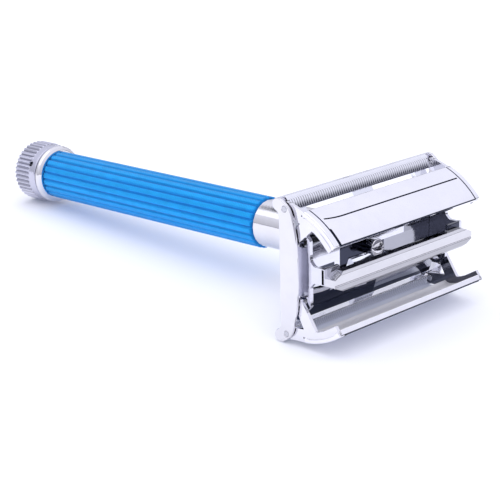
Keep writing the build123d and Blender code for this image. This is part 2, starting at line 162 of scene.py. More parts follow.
class Nodes:
    """Small helper that adds and links shader nodes."""

    def __init__(self, name):
        self.material = bpy.data.materials.new(name)
        self.material.use_nodes = True
        self.tree = self.material.node_tree
        self.shader = self.tree.nodes["Principled BSDF"]
        self.coords = self.tree.nodes.new("ShaderNodeTexCoord").outputs["Object"]

    def add(self, kind, **settings):
        node = self.tree.nodes.new(kind)
        for key, value in settings.items():
            setattr(node, key, value)
        return node

    def link(self, source, target):
        self.tree.links.new(source, target)

    def mapping(self, scale, rotation=(0, 0, 0)):
        node = self.add("ShaderNodeMapping")
        node.inputs["Scale"].default_value = scale
        node.inputs["Rotation"].default_value = rotation
        self.link(self.coords, node.inputs["Vector"])
        return node.outputs["Vector"]

    def noise(self, vector, scale, detail=3.0, roughness=0.55):
        node = self.add("ShaderNodeTexNoise")
        node.inputs["Scale"].default_value = scale
        node.inputs["Detail"].default_value = detail
        node.inputs["Roughness"].default_value = roughness
        self.link(vector, node.inputs["Vector"])
        return node.outputs["Fac"]

    def ramp(self, source, stops):
        node = self.add("ShaderNodeValToRGB")
        band = node.color_ramp
        while len(band.elements) < len(stops):
            band.elements.new(0.5)
        for element, (position, value) in zip(band.elements, stops):
            element.position = position
            colour = value if isinstance(value, tuple) else (value, value, value)
            element.color = (*colour, 1.0)
        self.link(source, node.inputs["Fac"])
        return node.outputs["Color"]

    def math(self, operation, first, second):
        node = self.add("ShaderNodeMath", operation=operation)
        for socket, value in zip(node.inputs, (first, second)):
            if isinstance(value, (int, float)):
                socket.default_value = value
            else:
                self.link(value, socket)
        return node.outputs["Value"]

    def blend(self, kind, factor, first, second):
        node = self.add("ShaderNodeMix", data_type="RGBA", blend_type=kind)
        node.inputs["Factor"].default_value = factor
        self.link(first, node.inputs[MIX_FIRST])
        self.link(second, node.inputs[MIX_SECOND])
        return node.outputs[MIX_RESULT]

    def bump(self, height, strength, distance, normal=None):
        node = self.add("ShaderNodeBump")
        node.inputs["Strength"].default_value = strength
        node.inputs["Distance"].default_value = distance
        self.link(height, node.inputs["Height"])
        if normal is not None:
            self.link(normal, node.inputs["Normal"])
        return node.outputs["Normal"]


def chrome(name, tint, roughness, wave, lines, line_turn=(0, 0, 0)):
    """Chrome plate: smudges, faint polishing lines and the slight waviness of buffed metal. A
    shade attribute on the mesh darkens the colour towards near-black as painted shade and painted
    dark reflections.
    """
    n = Nodes(name)
    n.shader.inputs["Specular IOR Level"].default_value = 0.5
    smudge = n.noise(n.coords, 260.0, 4.0, 0.6)
    tone = n.ramp(smudge, [(0.3, tuple(c * 0.94 for c in tint)), (0.7, tint)])
    # painted shade and painted reflections: the shade attribute darkens the base colour towards
    # near-black
    shade = n.add("ShaderNodeAttribute", attribute_name="shade")
    depth = n.ramp(shade.outputs["Fac"], [(0.0, 1.0), (1.0, PAINTED_SHADE_DARK)])
    n.link(n.blend("MULTIPLY", 1.0, tone, depth), n.shader.inputs["Base Color"])
    scratch = n.noise(n.mapping((60.0, 4200.0, 4200.0), line_turn), 1.0, 2.0, 0.5)
    rough = n.ramp(scratch, [(0.35, roughness * 0.6), (0.75, roughness * 1.7)])
    spots = n.ramp(n.noise(n.coords, 1400.0, 2.0), [(0.5, 0.0), (0.9, roughness)])
    total = n.blend("ADD", 0.6, rough, spots)
    satin = n.add("ShaderNodeAttribute", attribute_name="satin")
    n.link(n.math("ADD", total, satin.outputs["Fac"]), n.shader.inputs["Roughness"])
    n.link(n.math("SUBTRACT", 1.0, satin.outputs["Fac"]), n.shader.inputs["Metallic"])
    buffed = n.bump(n.noise(n.coords, 95.0, 1.5), wave, 0.0012)
    fine = n.bump(scratch, lines, 0.00004, buffed)
    n.link(fine, n.shader.inputs["Normal"])
    return n.material


def blue_lacquer():
    """Azure lacquer over a knurled metal sleeve; its colour is painted darker in the flutes and
    knurl hollows and lighter on the crests, as painted shade.
    """
    n = Nodes("azure_lacquer")
    n.shader.inputs["Metallic"].default_value = 0.85
    n.shader.inputs["Coat Weight"].default_value = 0.22
    n.shader.inputs["Coat Roughness"].default_value = 0.3
    depth = n.add("ShaderNodeAttribute", attribute_name="crest")
    colour = n.ramp(depth.outputs["Fac"], [(0.0, (0.0, 0.21, 0.58)), (0.45, (0.001, 0.31, 0.80)),
                                            (1.0, (0.012, 0.50, 1.0))])
    tone = n.ramp(n.noise(n.coords, 420.0, 4.0), [(0.3, 0.88), (0.7, 1.0)])
    n.link(n.blend("MULTIPLY", 1.0, colour, tone), n.shader.inputs["Base Color"])
    rough = n.ramp(n.noise(n.coords, 900.0, 3.0), [(0.3, 0.3), (0.7, 0.42)])
    n.link(rough, n.shader.inputs["Roughness"])
    grain = n.noise(n.coords, 5200.0, 2.0)
    n.link(n.bump(grain, 0.25, 0.00003), n.shader.inputs["Normal"])
    return n.material


def brass():
    n = Nodes("turned_brass")
    n.shader.inputs["Metallic"].default_value = 1.0
    turned = n.noise(n.mapping((300.0, 6000.0, 300.0)), 1.0, 2.0)
    colour = n.ramp(turned, [(0.3, (0.55, 0.38, 0.13)), (0.7, (0.74, 0.56, 0.25))])
    n.link(colour, n.shader.inputs["Base Color"])
    n.link(n.ramp(turned, [(0.3, 0.2), (0.7, 0.4)]), n.shader.inputs["Roughness"])
    n.link(n.bump(turned, 0.3, 0.00003), n.shader.inputs["Normal"])
    return n.material


CHROME = chrome("polished_chrome", (0.80, 0.79, 0.82), 0.06, 0.08, 0.10)
DOOR_CHROME = chrome("door_chrome", (0.93, 0.92, 0.97), 0.05, 0.04, 0.06)
CAST_CHROME = chrome("cast_chrome", (0.88, 0.88, 0.93), 0.10, 0.18, 0.14)
INNER_CHROME = chrome("inner_chrome", (0.86, 0.87, 0.94), 0.06, 0.25, 0.12)
LIFT_CHROME = chrome("lift_chrome", (0.82, 0.82, 0.90), 0.09, 0.18, 0.2)
KNOB_CHROME = chrome("knob_chrome", (0.60, 0.60, 0.70), 0.14, 0.12, 0.12)
STEEL = chrome("turned_steel", (0.60, 0.60, 0.64), 0.22, 0.10, 0.35, (0, 0, math.pi / 2))
AZURE = blue_lacquer()
BRASS = brass()


# ---- mesh helpers ----

def finish_piece(piece, body, material, nodes=(), sharp=32.0):
    """Smooth shading with sharp edges kept, material, body and the CAD nodes it stands for."""
    piece.data.shade_smooth()
    piece.data.set_sharp_from_angle(angle=math.radians(sharp))
    if sharp < 45.0:
        even = piece.modifiers.new("even", "WEIGHTED_NORMAL")
        even.keep_sharp = True
        evaluated(piece)
    piece.data.materials.clear()
    piece.data.materials.append(material)
    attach(piece, body)
    if nodes:
        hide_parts(*nodes)


@contextmanager
def edited(mesh):
    """Opens a mesh for editing and writes it back."""
    edit = bmesh.new()
    edit.from_mesh(mesh)
    yield edit
    edit.to_mesh(mesh)
    edit.free()


def in_scene(name, data):
    thing = bpy.data.objects.new(name, data)
    bpy.context.scene.collection.objects.link(thing)
    return thing


def add_object(name, verts, faces):
    """A mesh drawn in the razor's frame; its faces are made to point outwards."""
    mesh = bpy.data.meshes.new(name)
    mesh.from_pydata([place(v) for v in verts], [], faces)
    with edited(mesh) as edit:
        bmesh.ops.remove_doubles(edit, verts=edit.verts, dist=0.000001)
        bmesh.ops.recalc_face_normals(edit, faces=edit.faces)
    return in_scene(name, mesh)


def between(first, second, count):
    """Faces between two loops of points that start at these numbers."""
    return [(first + i, first + (i + 1) % count, second + (i + 1) % count, second + i)
            for i in range(count)]


def loft_faces(loops, count):
    """Faces that join each loop of points to the next."""
    return [face for loop in range(loops - 1)
            for face in between(loop * count, (loop + 1) * count, count)]


def end_faces(loops, count):
    """The two faces that close a loft."""
    last = (loops - 1) * count
    return [tuple(range(count)), tuple(last + i for i in reversed(range(count)))]


def circle_points(radius, z, around):
    """A level loop of points round the razor's axis."""
    angles = [2 * math.pi * s / around for s in range(around)]
    return [(radius * math.cos(angle), radius * math.sin(angle), z) for angle in angles]


def shade_points(piece, rule):
    """Stores the painted shade and painted reflections at each point, as how far the colour is
    darkened: the rule takes x, y, z in millimetres.
    """
    back = place_matrix().inverted()
    layer = piece.data.attributes.new("shade", "FLOAT", "POINT")
    layer.data.foreach_set("value", [rule(*(back @ vertex.co)) for vertex in piece.data.vertices])


def shade_faces(piece, rule):
    """The same for whole faces, so that the dark ends sharply; the normal comes last."""
    store_faces(piece, "shade", rule)


def store_faces(piece, name, rule):
    back = place_matrix().inverted()
    turn = back.to_3x3().normalized()
    layer = piece.data.attributes.new(name, "FLOAT", "FACE")
    layer.data.foreach_set("value", [rule(*(back @ face.center), (turn @ face.normal).normalized())
                                     for face in piece.data.polygons])


def rounded(points, radius, steps=4, keep=()):
    """The corners of a closed flat outline, each turned into a small arc."""
    result = []
    count = len(points)
    for i, here in enumerate(points):
        if i in keep:
            result.append(here)
            continue
        before = Vector(points[i - 1]) - Vector(here)
        after = Vector(points[(i + 1) % count]) - Vector(here)
        angle = before.angle(after)
        if angle > math.radians(172):
            result.append(here)
            continue
        reach = min(radius / math.tan(angle / 2), before.length * 0.45, after.length * 0.45)
        start = Vector(here) + before.normalized() * reach
        stop = Vector(here) + after.normalized() * reach
        for k in range(steps + 1):
            t = k / steps
            middle = start.lerp(Vector(here), t).lerp(Vector(here).lerp(stop, t), t)
            result.append(tuple(middle))
    return result


def lathe(name, profile, segments=128):
    """A turned piece; the profile is a closed loop of (radius, height)."""
    rows = len(profile)
    verts = []
    for s in range(segments):
        angle = 2 * math.pi * s / segments
        for radius, height in profile:
            verts.append((radius * math.cos(angle), radius * math.sin(angle), height))
    faces = []
    for s in range(segments):
        here, following = s * rows, (s + 1) % segments * rows
        for r in range(rows):
            up = (r + 1) % rows
            faces.append((here + r, following + r, following + up, here + up))
    return add_object(name, verts, faces)


def prism(name, outline, x0, x1):
    """A flat outline in (Y, Z), given thickness along X."""
    count = len(outline)
    verts = [(x0, y, z) for y, z in outline] + [(x1, y, z) for y, z in outline]
    return add_object(name, verts, end_faces(2, count) + loft_faces(2, count))


def upright_prism(name, outline, z0, z1):
    """A flat outline in (X, Y), given thickness along Z."""
    count = len(outline)
    verts = [(x, y, z0) for x, y in outline] + [(x, y, z1) for x, y in outline]
    return add_object(name, verts, end_faces(2, count) + loft_faces(2, count))


def box_outline(y0, y1, z0, z1):
    return [(y0, z0), (y1, z0), (y1, z1), (y0, z1)]


def circle_outline(centre, radius, count=28):
    return [(centre[0] + radius * math.cos(2 * math.pi * i / count),
             centre[1] + radius * math.sin(2 * math.pi * i / count)) for i in range(count)]


def evaluated(piece):
    """Applies a piece's modifiers to its mesh."""
    depsgraph = bpy.context.evaluated_depsgraph_get()
    depsgraph.update()
    mesh = bpy.data.meshes.new_from_object(piece.evaluated_get(depsgraph))
    old = piece.data
    piece.modifiers.clear()
    piece.data = mesh
    bpy.data.meshes.remove(old)
    return piece


def combine(piece, others, operation):
    """Adds the others to a piece, or cuts them from it, and drops them."""
    for other in others:
        step = piece.modifiers.new("combine", "BOOLEAN")
        step.operation = operation
        step.solver = "EXACT"
        step.object = other
        evaluated(piece)
        bpy.data.objects.remove(other)
    return piece


def soften(piece, width, segments=3, angle=35.0):
    """Rounds a piece's sharp edges by a width in millimetres."""
    with edited(piece.data) as edit:
        bmesh.ops.remove_doubles(edit, verts=edit.verts, dist=0.000003)
        bmesh.ops.dissolve_limit(edit, angle_limit=math.radians(0.6), verts=edit.verts,
                                 edges=edit.edges, delimit={"NORMAL"})
    step = piece.modifiers.new("soften", "BEVEL")
    step.width = width * MM
    step.segments = segments
    step.limit_method = "ANGLE"
    step.angle_limit = math.radians(angle)
    step.use_clamp_overlap = True
    step.miter_outer = "MITER_ARC"
    return evaluated(piece)


def gridded(piece, xs, ys):
    """Splits a piece's faces along lines of constant X and Y, so that shades can vary."""
    planes = [(place((x, 0, 0)), ALONG) for x in xs] + [(place((0, y, 0)), ACROSS) for y in ys]
    with edited(piece.data) as edit:
        for point, normal in planes:
            parts = edit.verts[:] + edit.edges[:] + edit.faces[:]
            bmesh.ops.bisect_plane(edit, geom=parts, dist=0.0000001, plane_co=point,
                                   plane_no=normal)


def line_through(knots, x):
    """The height at x of a broken line through the knots."""
    for (x0, y0), (x1, y1) in zip(knots, knots[1:]):
        if x <= x1:
            return y0 + (y1 - y0) * max(0.0, x - x0) / (x1 - x0)
    return knots[-1][1]


def half_name(side):
    return "upper" if side > 0 else "lower"


def mirrored(points, side):
    return [(side * y, z) for y, z in points]


# ---- handle ----

def make_grip():
    """The sleeve: narrow flutes, a fine crossed knurl on the lands, and eased ends."""
    around = GRIP_FLUTES * 20
    pitch = 0.14
    rows = int((GRIP_TOP - GRIP_BOTTOM) / pitch)
    verts, crest = [], []
    for row in range(rows + 1):
        z = GRIP_BOTTOM + (GRIP_TOP - GRIP_BOTTOM) * row / rows
        end = min(z - GRIP_BOTTOM, GRIP_TOP - z)
        ease = max(0.0, 1.0 - end / 0.45)
        for s in range(around):
            angle = 2 * math.pi * s / around
            flute = abs(math.cos(angle * GRIP_FLUTES / 2)) ** 9
            knurl = 0.5 + 0.25 * (math.cos(angle * 60 + z * 9) + math.cos(angle * 60 - z * 9))
            land = (1.0 - flute) ** 2 * min(1.0, end / 0.8)
            height = 1.0 - flute
            radius = GRIP_RADIUS - GRIP_FLUTE_DEPTH * flute
            radius -= GRIP_KNURL_DEPTH * land * (1.0 - knurl)
            radius -= 0.32 * ease * ease
            verts.append((radius * math.cos(angle), radius * math.sin(angle), z))
            # crest carries painted shade: low in the flutes, in the knurl hollows and towards the
            # eased ends
            crest.append(max(0.0, 0.15 + 0.85 * height * (0.2 + 0.8 * knurl * land) - 0.5 * ease))
    faces = loft_faces(rows + 1, around)
    for row, z in ((0, GRIP_BOTTOM), (rows, GRIP_TOP)):
        faces += between(row * around, len(verts), around)
        verts += circle_points(GRIP_BORE, z, around)
        crest += [0.2] * around
    piece = add_object("grip", verts, faces)
    values = piece.data.attributes.new("crest", "FLOAT", "POINT")
    values.data.foreach_set("value", crest)
    finish_piece(piece, "handle", AZURE, ["grip_sleeve"], 80.0)


def make_collar():
    """The smooth neck, turned, with a narrower tail inside the stem."""
    profile = rounded([(GRIP_BORE, GRIP_TOP), (COLLAR_RADIUS, GRIP_TOP),
                       (COLLAR_RADIUS, COLLAR_TOP), (1.95, COLLAR_TOP), (1.95, -10.8),
                       (3.85, -11.0)], 0.22, 4)
    finish_piece(lathe("neck", profile), "handle", CHROME, ["neck_collar"])


def make_ring():
    """The polished ring that flares from the grip to the knob."""
    profile = rounded([(RING_BORE, RING_BOTTOM), (RING_RADIUS, RING_BOTTOM),
                       (RING_RADIUS, GRIP_BOTTOM - 0.75), (RING_RADIUS - 0.25, GRIP_BOTTOM - 0.3),
                       (RING_GRIP_RADIUS, GRIP_BOTTOM), (RING_BORE, GRIP_BOTTOM)], 0.25, 5)
    ring = lathe("handle_end_ring", profile)
    finish_piece(ring, "handle", CHROME, ["handle_ring"])


def quarter_round(part):
    """How far a rounded edge has fallen away: 1 at its start, 0 at its end."""
    return 1 - math.sqrt(max(0.0, 1 - (1 - part) ** 2))


def from_pin(angle, z):
    """Distance over the knob's band from the middle of the pin's hole."""
    turn = (angle - KNOB_PIN_ANGLE + math.pi) % (2 * math.pi) - math.pi
    return math.hypot(turn * KNOB_BAND_RADIUS, z - KNOB_PIN_HEIGHT)


def make_knob():
    """The twist knob: rounded ridges, a smooth band with the pin's hole, a rolled end."""
    around = KNOB_RIDGES * 18
    heights = [KNOB_TOP, KNOB_TOP - 0.05, KNOB_TOP - 0.12, KNOB_TOP - 0.22]
    heights += [KNOB_TOP - 0.3 - 0.075 * i for i in range(20)]
    heights += [KNOB_RIDGE_TOP + 0.06, KNOB_RIDGE_TOP - 0.02, KNOB_RIDGE_TOP - 0.1,
                KNOB_RIDGE_TOP - 0.2, KNOB_RIDGE_TOP - 0.35]
    heights += [KNOB_RIDGE_TOP - 0.45 - 0.1 * i for i in range(3)]
    heights += [KNOB_RIDGE_TOP - 0.9 - 0.3 * i for i in range(11)]
    heights += [KNOB_BOTTOM + h for h in (0.75, 0.6, 0.48, 0.36, 0.25, 0.16, 0.08, 0.03, 0.0)]
    verts = []
    for z in heights:
        for s in range(around):
            angle = 2 * math.pi * s / around
            wave = math.cos(angle * KNOB_RIDGES / 2) ** 2
            if z > KNOB_RIDGE_TOP:
                radius = KNOB_BAND_RADIUS
                top = KNOB_TOP - z
                if top < 0.3:
                    radius -= 0.28 * quarter_round(top / 0.3)
            else:
                radius = KNOB_RADIUS - KNOB_RIDGE_DEPTH * wave
                start = KNOB_RIDGE_TOP - z
                if start < 0.35:
                    radius -= (radius - KNOB_BAND_RADIUS) * quarter_round(start / 0.35)
                end = z - KNOB_BOTTOM
                if end < 0.75:
                    radius -= 0.55 * quarter_round(end / 0.75)
            inside = KNOB_PIN_RADIUS + 0.12 - from_pin(angle, z)
            if inside > 0:
                radius -= 0.7 * min(1.0, inside / 0.18)
            verts.append((radius * math.cos(angle), radius * math.sin(angle), z))
    rows = len(heights)
    faces = loft_faces(rows, around)
    rims = ((0, NUT_RADIUS + 0.02, KNOB_TOP), (rows - 1, KNOB_CAP_RADIUS, KNOB_BOTTOM),
            (rows + 1, KNOB_CAP_RADIUS, KNOB_BOTTOM + 0.9))
    for row, radius, z in rims:
        faces += between(row * around, len(verts), around)
        verts += circle_points(radius, z, around)
    knob = add_object("twist_knob", verts, faces)

    # painted shade: near-black in the pin's hole and darker in the valleys between the ridges
    def knob_shade(x, y, z):
        angle = math.atan2(y, x)
        if from_pin(angle, z) < KNOB_PIN_RADIUS + 0.08:
            return 0.97
        valley = math.cos(angle * KNOB_RIDGES / 2) ** 2 if z < KNOB_RIDGE_TOP - 0.05 else 0.0
        return 0.55 * valley ** 2

    shade_points(knob, knob_shade)
    finish_piece(knob, "knob", KNOB_CHROME, ["knob_barrel"], sharp=50.0)

    steps = [(0.0, 0.34), (1.2, 0.30), (2.4, 0.22), (3.4, 0.12), (4.0, 0.10), (4.3, 0.14),
             (4.5, 0.26), (4.55, 0.5), (4.55, 0.9), (0.0, 0.9)]
    steps = [(r, KNOB_BOTTOM + h) for r, h in steps]
    cap = lathe("knob_end_cap", rounded(steps, 0.12, 3, (0, 9)), 96)
    finish_piece(cap, "knob", CHROME, ["knob_cap"])


# ---- head: bed, guards, stem ----

def bed_height(y, depth=0.0):
    """Height of the arched bed's top, or of a surface that lies this deep under it."""
    rise = BED_TOP - BED_EDGE_TOP
    radius = (BED_HALF_WIDTH ** 2 + rise ** 2) / (2 * rise)
    return BED_TOP - radius + math.sqrt((radius - depth) ** 2 - y * y)


def smooth_through(knots, per_span=8):
    """A smooth line through the knots."""
    result = []
    for i in range(len(knots) - 1):
        p0 = Vector(knots[max(i - 1, 0)])
        p1, p2 = Vector(knots[i]), Vector(knots[i + 1])
        p3 = Vector(knots[min(i + 2, len(knots) - 1)])
        for k in range(per_span):
            t = k / per_span
            point = 0.5 * (2 * p1 + (p2 - p0) * t + (2 * p0 - 5 * p1 + 4 * p2 - p3) * t * t
                           + (3 * p1 - p0 - 3 * p2 + p3) * t * t * t)
            result.append(tuple(point))
    result.append(tuple(knots[-1]))
    return result


SLOT_EDGE = smooth_through([(-20, 3.0), (-16.5, 3.9), (-12.5, 4.1), (-8.5, 3.2), (-4.5, 3.0),
                            (0, 3.4), (4.5, 3.0), (8.5, 3.2), (12.5, 4.1), (16.5, 3.9),
                            (20, 3.0)], 10)


def slot_half_width(x):
    """Half the width of the bed's wavy opening."""
    for (x0, y0), (x1, y1) in zip(SLOT_EDGE, SLOT_EDGE[1:]):
        if x0 <= x <= x1:
            return y0 + (y1 - y0) * (x - x0) / (x1 - x0)
    return SLOT_EDGE[0][1]


def make_bed(side):
    """One half of the arched bed: a curved plate with rounded, wavy inner edge."""
    columns = 120
    verts = []
    for c in range(columns + 1):
        x = -BED_HALF_LENGTH + 2 * BED_HALF_LENGTH * c / columns
        inner = slot_half_width(x)
        ys = [inner + (BED_HALF_WIDTH - inner) * k / 12 for k in range(13)]
        section = [(y, bed_height(y)) for y in ys]
        section += [(y, bed_height(y, BED_THICKNESS)) for y in reversed(ys)]
        section = rounded(section, 0.22, 3)
        verts += [(x, side * y, z) for y, z in section]
    count = len(section)
    faces = loft_faces(columns + 1, count) + end_faces(columns + 1, count)
    return add_object("blade_bed_" + half_name(side), verts, faces)


GUARD_SECTION = [(10.7, -0.3), (10.7, 1.2), (11.0, 1.3), (12.6, 0.62), (13.0, 0.35),
                 (13.22, 0.0), (13.3, -0.4), (13.2, -0.85), (12.9, -1.25), (12.4, -1.5),
                 (11.7, -1.3)]


def make_guard(side):
    """A guard rail with its comb of fine rounded ribs."""
    section = mirrored(rounded(GUARD_SECTION, 0.16, 3), side)
    rail = prism("guard_" + half_name(side), section, -GUARD_HALF_LENGTH, GUARD_HALF_LENGTH)
    cutters = []
    for end in (1, -1):
        limits = sorted((end * RELIEF_START, end * (GUARD_HALF_LENGTH + 1)))
        cutters.append(prism("cut", mirrored(box_outline(9, 14, -0.05, 3), side), *limits))
    rail = combine(rail, cutters, "DIFFERENCE")
    soften(rail, 0.12, 3)
    finish_piece(rail, "handle", CAST_CHROME)

    inner, outer = Vector((10.88, 1.36)), Vector((12.75, 0.56))
    half = RELIEF_START - 0.45
    pitch = 2 * half / GUARD_RIBS
    slope = outer - inner
    normal = Vector((-slope.y, slope.x)).normalized()
    across = 9
    verts = []
    steps = GUARD_RIBS * 8
    for s in range(steps + 1):
        x = -half + 2 * half * s / steps
        ridge = 0.5 - 0.5 * math.cos(2 * math.pi * s / 8)
        for k in range(across):
            t = k / (across - 1)
            fall = max(0.0, math.sin(math.pi * t)) ** 0.35
            lift = 0.015 + (0.05 + 0.22 * ridge ** 0.8) * fall
            y, z = inner + slope * t + normal * (lift - 0.06)
            verts.append((x, side * y, z))
        for y, z in (outer - normal * 0.3, inner - normal * 0.3):
            verts.append((x, side * y, z))
    faces = loft_faces(steps + 1, across + 2) + end_faces(steps + 1, across + 2)
    comb = add_object("comb_" + half_name(side), verts, faces)

    def comb_shade(x, y, z):
        """Painted shade between the ribs, and on the upper guard also towards the bed."""
        valley = (0.5 + 0.5 * math.cos(2 * math.pi * (x + half) / pitch)) ** 1.5
        inward = min(1.0, max(0.0, 12.1 - y)) if side > 0 else 0.0
        return min(1.0, 0.45 * valley + inward * (0.55 + 0.35 * valley))

    shade_points(comb, comb_shade)
    finish_piece(comb, "handle", CAST_CHROME, sharp=60.0)


# the edge of the bar's shadow on the lower half of the bed, as (X, Y)
BED_SHADOW = [(-20.7, -5.0), (-15.6, -4.7), (-10.6, -5.4), (-2.5, -6.9), (0.5, -6.4), (1.7, -6.1)]


def bed_shade(x, y, z, normal):
    """Painted shade and painted reflections: nearly black on the wall of the wavy opening, in the
    bar's shadow and along the lower half's outer edge on the right, grey on most of the rest of
    the top, light beneath.
    """
    if normal.z < -0.3:
        return 0.1
    if abs(y) < 4.4 and normal.z < 0.75:
        return 0.75 if y > 0 and x > 8 else 0.97
    if y > 0:
        return 0.74 if x > 0 else 0.6
    if x < 1.7:
        return 1.0 if y < line_through(BED_SHADOW, x) else 0.0
    return 0.95 if y < -8.6 else 0.5


def make_head():
    """Both halves of the bed with their guards and bridges, and the slotted stem."""
    for side in (1, -1):
        bed = make_bed(side)
        shade_faces(bed, bed_shade)
        finish_piece(bed, "handle", INNER_CHROME)
        make_guard(side)
        web = [(8.9, 1.1), (9.4, 1.75), (10.8, 0.9), (10.8, -0.2), (9.2, 0.3)]
        spans = [(-BED_HALF_LENGTH, -DRAIN_END), (-DRAIN_START, DRAIN_START),
                 (DRAIN_END, BED_HALF_LENGTH)]
        for number, (x0, x1) in enumerate(spans):
            bridge = prism(f"bridge_{half_name(side)}_{number}", mirrored(web, side), x0, x1)
            soften(bridge, 0.12, 3)
            finish_piece(bridge, "handle", INNER_CHROME)
    stem = lathe("stem", [(1.9, COLLAR_TOP), (STEM_RADIUS, COLLAR_TOP), (STEM_RADIUS, 2.75),
                          (1.9, 2.75)], 96)
    slot = prism("cut", box_outline(-STEM_SLOT, STEM_SLOT, STEM_SLOT_FLOOR, 5), -6, 6)
    wavy = upright_prism("cut", [(-6, -3.05), (6, -3.05), (6, 3.05), (-6, 3.05)], 1.7, 5)
    combine(stem, [slot, wavy], "DIFFERENCE")
    soften(stem, 0.15, 3)
    finish_piece(stem, "handle", INNER_CHROME, ["head_casting"])


def make_end_plates():
    """Curved plates that close the head's ends, and the hinge pins through them."""
    top = smooth_through([(-13.2, 0.5), (-11.6, 2.45), (-9.0, 3.3), (-5.5, 3.95), (0, 4.25),
                          (5.5, 3.95), (9.0, 3.3), (11.6, 2.45), (13.2, 0.5)], 5)
    right = smooth_through([(13.2, 0.5), (13.25, -0.5), (12.7, -1.35), (11.9, -1.5), (11.2, -1.1),
                            (10.7, -0.3), (10.0, 0.0)], 4)
    left = [(-y, z) for y, z in reversed(right)]
    outline = top + right[1:] + left[:-1]
    for side, word in ((1, "right"), (-1, "left")):
        limits = sorted((side * END_PLATE_INNER, side * END_PLATE_OUTER))
        plate = prism("end_cover_" + word, outline, *limits)
        holes = [prism("cut", circle_outline((y * HINGE[0], HINGE[1]), HINGE_PIN_RADIUS),
                       limits[0] - 1, limits[1] + 1) for y in (1, -1)]
        combine(plate, holes, "DIFFERENCE")
        soften(plate, 0.16, 4)
        finish_piece(plate, "handle", CHROME, ["end_plate_" + word])
    number = 0
    for side in (1, -1):
        for y in (1, -1):
            number += 1
            centre = (y * HINGE[0], HINGE[1])
            limits = sorted((side * (RELIEF_START + 0.05), side * (END_PLATE_OUTER - 0.02)))
            pin = prism(f"hinge_pin_{number}", circle_outline(centre, HINGE_PIN_RADIUS - 0.005),
                        *limits)
            soften(pin, 0.1, 3)
            nodes = ["hinge_pins"] if number == 1 else ()
            finish_piece(pin, "handle", STEEL, nodes)


# ---- lifting frame and centre bar ----

def make_lift():
    """The waisted lifting plate, its two yokes with feet under the bar, and the rivets."""
    waist_end = WAIST_HALF_LENGTH + 1.3
    quarter = [(WAIST_HALF_LENGTH, WAIST_HALF_WIDTH), (waist_end, PLATE_HALF_WIDTH),
               (YOKE_INNER, PLATE_HALF_WIDTH)]
    right = quarter + [(x, -y) for x, y in reversed(quarter)]
    outline = right + [(-x, -y) for x, y in right]
    plate = upright_prism("lift_plate", outline, YOKE_BOTTOM, YOKE_BOTTOM + PLATE_HEIGHT)
    soften(plate, 0.15, 3)
    gridded(plate, [-18 + 0.75 * i for i in range(49)], [-3 + i for i in range(7)])

    def plate_shade(x, y, z, normal):
        """Painted reflections and painted shade: light at the ends and beneath, nearly black at
        the waist and on the sides, with grey parts towards the right.
        """
        if normal.z < -0.5:
            return 0.1
        if normal.z < 0.5:
            return 0.97
        if x < -7.8:
            return 0.0 if y > -1.3 or x > -9.3 else 0.93
        if x < 0.5:
            return 0.96
        if y > 0.3:
            return 0.0 if x < 11.5 else 0.6
        return 0.9 if x < 5 else 0.5

    shade_faces(plate, plate_shade)
    finish_piece(plate, "lift", LIFT_CHROME)
    corner = 1.6
    half, top, post = YOKE_HALF_WIDTH, YOKE_TOP, POST_HALF_WIDTH
    outline = rounded([
        (-half, YOKE_BOTTOM), (half, YOKE_BOTTOM), (half, top - corner), (half - corner, top),
        (post + 0.9, top), (post, top + 0.9), (post, BAR_BOTTOM), (-post, BAR_BOTTOM),
        (-post, top + 0.9), (-post - 0.9, top), (corner - half, top), (-half, top - corner),
    ], 0.7, 4, (6, 7))
    for side, word in ((1, "right"), (-1, "left")):
        limits = sorted((side * YOKE_INNER, side * YOKE_OUTER))
        yoke = prism("yoke_" + word, outline, *limits)
        cutters = []
        for y in (1, -1):
            window = rounded(mirrored(box_outline(*WINDOW), y), 0.35, 4)
            cutters.append(prism("cut", window, limits[0] - 1, limits[1] + 1))
        combine(yoke, cutters, "DIFFERENCE")
        soften(yoke, 0.12, 3)
        # painted reflection: the right yoke's inner face is painted nearly black, the rest stays
        # light
        shade_faces(yoke, lambda x, y, z, normal: 0.9 if x > 0 and normal.x < -0.5 else 0.08)
        nodes = ["lift_frame"] if side > 0 else ()
        finish_piece(yoke, "lift", LIFT_CHROME, nodes)
        foot_limits = sorted((side * (YOKE_INNER - 3.4), side * YOKE_OUTER))
        foot = prism("foot_" + word, box_outline(-post, post, BAR_BOTTOM - 0.8, BAR_BOTTOM - 0.01),
                     *foot_limits)
        soften(foot, 0.15, 3)
        # painted shade: the right foot is painted nearly black, the left one a little darker than
        # bare chrome
        shade_faces(foot, lambda x, y, z, normal, dark=0.93 if side > 0 else 0.3: dark)
        finish_piece(foot, "lift", LIFT_CHROME)
        head = lathe("bar_rivet_" + word, [(0.0, -0.42), (0.55, -0.36), (0.8, -0.15), (0.85, 0.0),
                                           (0.0, 0.0)], 40)
        shift = place((side * RIVET_X, 0, BAR_BOTTOM - 0.8)) - place((0, 0, 0))
        head.data.transform(Matrix.Translation(shift))
        nodes = ["bar_rivets"] if side > 0 else ()
        finish_piece(head, "lift", STEEL, nodes)
    base = YOKE_BOTTOM + PLATE_HEIGHT
    shoulder = base + RIVET_NECK_HEIGHT
    head = [(0.0, base), (1.42, base), (1.42, shoulder - 0.25), (1.66, shoulder)]
    head += [(1.7 * math.cos(a), shoulder + 0.05 + 1.05 * math.sin(a))
             for a in (math.radians(9 * i) for i in range(10))]
    rivet = lathe("rod_head", head + [(0.0, shoulder + 1.1)], 64)
    slot_cut = prism("cut", box_outline(-0.22, 0.22, shoulder + 0.65, shoulder + 3), -3, 3)
    combine(rivet, [slot_cut], "DIFFERENCE")
    soften(rivet, 0.05, 2)
    # painted shade: the rivet is painted nearly black below its shoulder
    shade_faces(rivet, lambda x, y, z, normal: 0.9 if z < shoulder - 0.3 else 0.0)
    finish_piece(rivet, "lift", CHROME, ["rod_rivet"])


